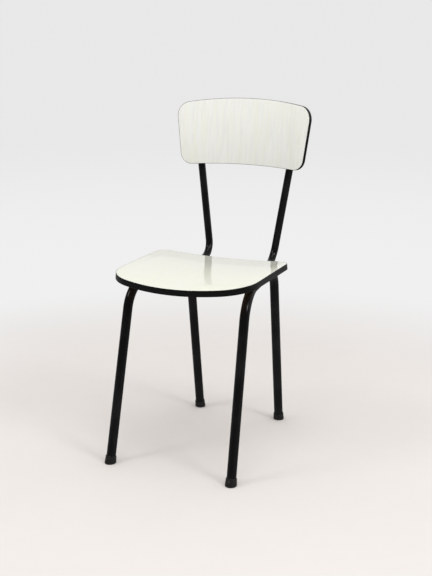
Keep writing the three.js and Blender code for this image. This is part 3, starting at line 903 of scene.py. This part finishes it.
class CHAIR_OT_feet(ChairBuilder, bpy.types.Operator):
    """Build the four rubber foot caps"""

    bl_idname = "chair.feet"
    bl_label = "Feet"
    BORE_CLEARANCE = 0.05 * MM
    HEM = 0.7 * MM
    HEM_STEPS = 4
    SKIRT_TOP = 7.2 * MM
    SKIRT_STEPS = 7
    SKIRT_SPREAD = 0.45
    SOLE_SPREAD = 1.5
    SOLE_ROUNDING = 2.4 * MM
    SIDES_ROUND = 56

    def build(self, chair, bones):
        rubber = finishes(chair, "rubber")
        for end in ("front", "rear"):
            for side, sign in SIDES.items():
                cap = f"{side}_{end}_foot_cap"
                name = f"{side}_{end}_rubber_foot"
                finish_piece(self.cap(bones, chair, end), name, rubber, [cap], sign)

    def profile(self, foot, leg_radius, floor):
        """Half of the cap's section: sole, flared skirt, rounded hem, bore and the tube's seat."""
        mouth = leg_radius + GAP + foot.wall
        bore = leg_radius + self.BORE_CLEARANCE
        points = [(0, -mouth), (mouth + self.SOLE_SPREAD * foot.flare, -mouth)]
        for i in range(self.SKIRT_STEPS + 1):
            part = (i / self.SKIRT_STEPS) ** 0.8
            height = self.SKIRT_TOP + (foot.length - self.HEM - self.SKIRT_TOP) * part
            points.append((mouth + self.SKIRT_SPREAD * foot.flare * (1 - part) ** 1.6, height))
        for i in range(1, self.HEM_STEPS + 1):
            turn = math.pi * i / self.HEM_STEPS
            across = self.HEM * (math.cos(turn) - 1)
            points.append((mouth + across, foot.length + self.HEM * (math.sin(turn) - 1)))
        return points + [(bore, foot.length - 2 * self.HEM), (bore, floor), (0, floor)]

    def cap(self, bones, chair, end):
        """A flared sleeve spun along the leg, cut level at the floor, with a round edge to its sole."""
        foot = chair.foot
        ground = bones.on_leg(end, 0)
        floor = (bones.leg_end(end, foot.sole) - ground).length - GAP
        bm = bmesh.new()
        spun_profile(bm, self.profile(foot, chair.frame.leg_tube / 2, floor), self.SIDES_ROUND,
                     aimed(ground, bones.ups[end].normalized()))
        cut = bmesh.ops.bisect_plane(bm, geom=everything(bm), dist=MERGE, plane_co=(0, 0, 0),
                                     plane_no=Z_AXIS, clear_inner=True)
        rim = edges_in(cut["geom_cut"])
        bmesh.ops.contextual_create(bm, geom=rim)
        bmesh.ops.recalc_face_normals(bm, faces=bm.faces[:])
        round_edges(bm, rim, self.SOLE_ROUNDING, segments=5)
        return bm


class CHAIR_OT_fasteners(ChairBuilder, bpy.types.Operator):
    """Build the screws and the end plugs of the uprights"""

    bl_idname = "chair.fasteners"
    bl_label = "Fasteners"
    BITE = 5 * MM
    POINT = 3 * MM
    RIM_SHARE = 0.35
    DOME = (0.93, 0.8, 0.52, 0.2)
    RECESS_REACH = 0.52
    RECESS_HUB = 0.2
    RECESS_ARM = 15
    RECESS_TAPER = 0.75
    RECESS_DEPTH = 1.3 * MM
    HEAD_SIDES = 24
    PLUG_STEM = 10 * MM
    PLUG_LIP = 1.2 * MM
    PLUG_SEAT = 0.05 * MM
    PLUG_DOME = 1.8 * MM
    PLUG_STEPS = 8
    PLUG_SIDES = 48

    def build(self, chair, bones):
        screw = chair.screw
        rises = {"upper": screw.upper_rise, "lower": -screw.lower_drop}
        out_reach = chair.frame.upright_tube / 2 + GAP
        back_depth = 2 * out_reach + chair.back.laminate + GAP + self.BITE
        for side, sign in SIDES.items():
            for level, rise in rises.items():
                axis_point, out = bones.back_screw(rise)
                node = f"{side}_{level}_back_screw"
                self.place_screw(chair, node, back_depth, aimed(axis_point + out * out_reach, out), sign)
            for end in ("front", "rear"):
                node = f"{side}_{end}_seat_screw"
                low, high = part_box(node)
                seat = Vector((abs(low.x + high.x) / 2, (low.y + high.y) / 2, low.z + screw.head_height))
                self.place_screw(chair, node, high.z - seat.z, aimed(seat, -Z_AXIS), sign)
            self.place_plug(chair, bones, side, sign)

    def place_screw(self, chair, node, depth, matrix, sign):
        """A pan head screw with a cross recess, its head's underside at the seat."""
        screw = chair.screw
        radius = screw.head / 2
        shank = screw.shank / 2
        rim = screw.head_height * self.RIM_SHARE
        profile = [(0, -depth), (shank, -depth + self.POINT), (shank, 0), (radius, 0), (radius, rim)]
        for reach in self.DOME:
            profile.append((radius * reach, rim + (screw.head_height - rim) * math.sqrt(1 - reach ** 2)))
        profile.append((0, screw.head_height))
        bm = bmesh.new()
        spun_profile(bm, profile, self.HEAD_SIDES, Matrix.Identity(4))
        recess = [face for face in bm.faces if self.in_cross(face.calc_center_median(), radius, rim)]
        sunk = bmesh.ops.extrude_face_region(bm, geom=recess)["geom"]
        bmesh.ops.delete(bm, geom=recess, context="FACES")
        verts = verts_in(sunk)
        bmesh.ops.scale(bm, vec=(self.RECESS_TAPER, self.RECESS_TAPER, 1), verts=verts)
        bmesh.ops.translate(bm, vec=(0, 0, -self.RECESS_DEPTH), verts=verts)
        bmesh.ops.transform(bm, matrix=matrix, verts=bm.verts[:])
        name = node.replace("_screw", "_pan_head")
        finish_piece(bm, name, finishes(chair, "steel"), [node], sign)

    def in_cross(self, middle, radius, rim):
        """Whether a face of a screw's head lies in its cross recess."""
        flat = math.hypot(middle.x, middle.y) / radius
        if middle.z < rim or flat > self.RECESS_REACH:
            return False
        turn = math.degrees(math.atan2(middle.y, middle.x)) % 90
        return flat < self.RECESS_HUB or min(turn, 90 - turn) < self.RECESS_ARM

    def place_plug(self, chair, bones, side, sign):
        """A domed plug that closes the top of an upright."""
        tube = chair.frame
        radius = tube.upright_tube / 2
        stem = radius - tube.wall - GAP
        profile = [(0, -self.PLUG_STEM), (stem - MM, -self.PLUG_STEM), (stem, MM - self.PLUG_STEM),
                   (stem, self.PLUG_SEAT), (radius, self.PLUG_SEAT), (radius, self.PLUG_LIP)]
        for i in range(1, self.PLUG_STEPS):
            turn = math.pi / 2 * i / self.PLUG_STEPS
            height = self.PLUG_LIP + self.PLUG_DOME * math.sin(turn)
            profile.append((radius * math.cos(turn) ** 0.6, height))
        profile.append((0, self.PLUG_LIP + self.PLUG_DOME))
        bm = bmesh.new()
        top = aimed(bones.on_upright(tube.upright_top), bones.upright_slope.normalized())
        spun_profile(bm, profile, self.PLUG_SIDES, top)
        plastic = finishes(chair, "plastic")
        finish_piece(bm, side + "_end_plug", plastic, [side + "_upright_plug"], sign)


class CHAIR_OT_stage(bpy.types.Operator):
    """Set the camera, the lights and the pale floor and backdrop"""

    bl_idname = "chair.stage"
    bl_label = "Stage"
    IMAGE_HEIGHT = 576
    FLOOR_SIDES = 64
    LAMP_AIM = Vector((0, 0, 0.4))
    LAMPS = (
        # name, place, size, power
        ("overhead", (0.5, -0.7, 2.9), 1.9, 20.0),
        ("key", (-1.9, -1.9, 2.9), 0.9, 15.0),
        ("side", (2.7, -0.9, 2.6), 0.9, 21.5),
    )

    def execute(self, context):
        stage = context.scene.chair.stage
        self.camera(context, stage)
        self.backdrop(context, stage)
        self.lights(context, stage)
        context.scene.view_settings.view_transform = "Standard"
        return {"FINISHED"}

    def camera(self, context, stage):
        data = bpy.data.cameras.new("camera")
        data.sensor_width = 36.0
        data.lens = stage.focal_pixels * data.sensor_width / self.IMAGE_HEIGHT
        data.clip_start = 0.05
        data.clip_end = 50
        camera = add_object("camera", data)
        camera.location = stage.camera_place
        camera.rotation_euler = (math.pi / 2 - stage.camera_pitch, 0, stage.camera_yaw)
        context.scene.camera = camera

    def backdrop(self, context, stage):
        """A floor that fades into the backdrop's colour some way off, all round the chair."""
        bm = bmesh.new()
        bmesh.ops.create_circle(bm, cap_ends=True, segments=self.FLOOR_SIDES, radius=stage.floor_reach)
        mesh = mesh_from(bm, "floor")
        floor = add_object("floor", mesh)
        finish = Finish("stage_floor")
        places = finish.places()
        cloud = finish.noise(places, scale=2.2)
        speckle = finish.noise(places, scale=26.0, detail=4.0, roughness=0.6)
        base = finish.blend(cloud * 0.6 + speckle * 0.4, stage.floor, scaled(stage.floor, 0.93))
        ground = finish.node("BsdfDiffuse", {"Color": base})
        distance = finish.node("VectorMath", {0: places}, "Value", operation="LENGTH")
        beyond = distance.between(stage.horizon_start, stage.horizon_end)
        horizon = finish.blend(beyond, stage.wall, stage.horizon)
        mirrored = finish.node("LightPath", output="Is Glossy Ray")
        tone = finish.blend(mirrored, horizon, stage.mirrored)
        far = finish.node("Emission", {"Color": tone, "Strength": 1.0})
        fade = distance.between(stage.fade_start, stage.fade_end) * seen_directly(finish)
        fade = fade.math("MAXIMUM", fade, mirrored)
        finish.close(finish.node("MixShader", {0: fade, 1: ground, 2: far}))
        mesh.materials.append(finish.material)

    def lights(self, context, stage):
        world = bpy.data.worlds.new("studio")
        context.scene.world = world
        world.use_nodes = True
        sky = Finish("studio", world)
        ambient = sky.node("Background", {"Color": (1, 1, 1), "Strength": stage.ambient})
        way = sky.node("TexCoord", output="Generated")
        towards_rear = sky.node("SeparateXYZ", {"Vector": way}, "Y").between(-0.1, 0.7)
        camera = sky.node("LightPath", output="Is Camera Ray")
        lit = camera.math("MAXIMUM", towards_rear, camera)
        tone = sky.blend(lit, stage.room, stage.horizon)
        shown = sky.node("Background", {"Color": tone, "Strength": 1.0})
        mixed = sky.node("MixShader", {0: seen_directly(sky), 1: ambient, 2: shown})
        sky.node("OutputWorld", {"Surface": mixed})
        for name, place, size, power in self.LAMPS:
            data = bpy.data.lights.new(name, "AREA")
            data.size = size
            data.energy = power
            lamp = add_object(name, data)
            lamp.location = place
            lamp.rotation_euler = (self.LAMP_AIM - Vector(place)).to_track_quat("-Z", "Y").to_euler()


OPERATORS = (CHAIR_OT_stage, CHAIR_OT_seat, CHAIR_OT_back, CHAIR_OT_tubes, CHAIR_OT_welds, CHAIR_OT_feet,
             CHAIR_OT_fasteners)


class CHAIR_PT_panel(bpy.types.Panel):
    bl_label = "Kitchen Chair"
    bl_idname = "CHAIR_PT_panel"
    bl_space_type = "VIEW_3D"
    bl_region_type = "UI"
    bl_category = "Chair"

    def draw(self, context):
        for operator in OPERATORS:
            self.layout.operator(operator.bl_idname)


class ChairSettings(bpy.types.PropertyGroup):
    seat: PointerProperty(type=ChairSeatSettings)
    back: PointerProperty(type=ChairBackSettings)
    frame: PointerProperty(type=ChairFrameSettings)
    foot: PointerProperty(type=ChairFootSettings)
    weld: PointerProperty(type=ChairWeldSettings)
    screw: PointerProperty(type=ChairScrewSettings)
    finish: PointerProperty(type=ChairFinishSettings)
    stage: PointerProperty(type=ChairStageSettings)


CLASSES = (ChairSeatSettings, ChairBackSettings, ChairFrameSettings, ChairFootSettings,
           ChairWeldSettings, ChairScrewSettings, ChairFinishSettings, ChairStageSettings,
           ChairSettings, *OPERATORS, CHAIR_PT_panel)


def register():
    for cls in CLASSES:
        bpy.utils.register_class(cls)
    bpy.types.Scene.chair = PointerProperty(type=ChairSettings)


def unregister():
    del bpy.types.Scene.chair
    for cls in reversed(CLASSES):
        bpy.utils.unregister_class(cls)


def main():
    register()
    for operator in OPERATORS:
        group, name = operator.bl_idname.split(".")
        getattr(getattr(bpy.ops, group), name)()


if __name__ == "__main__":
    main()
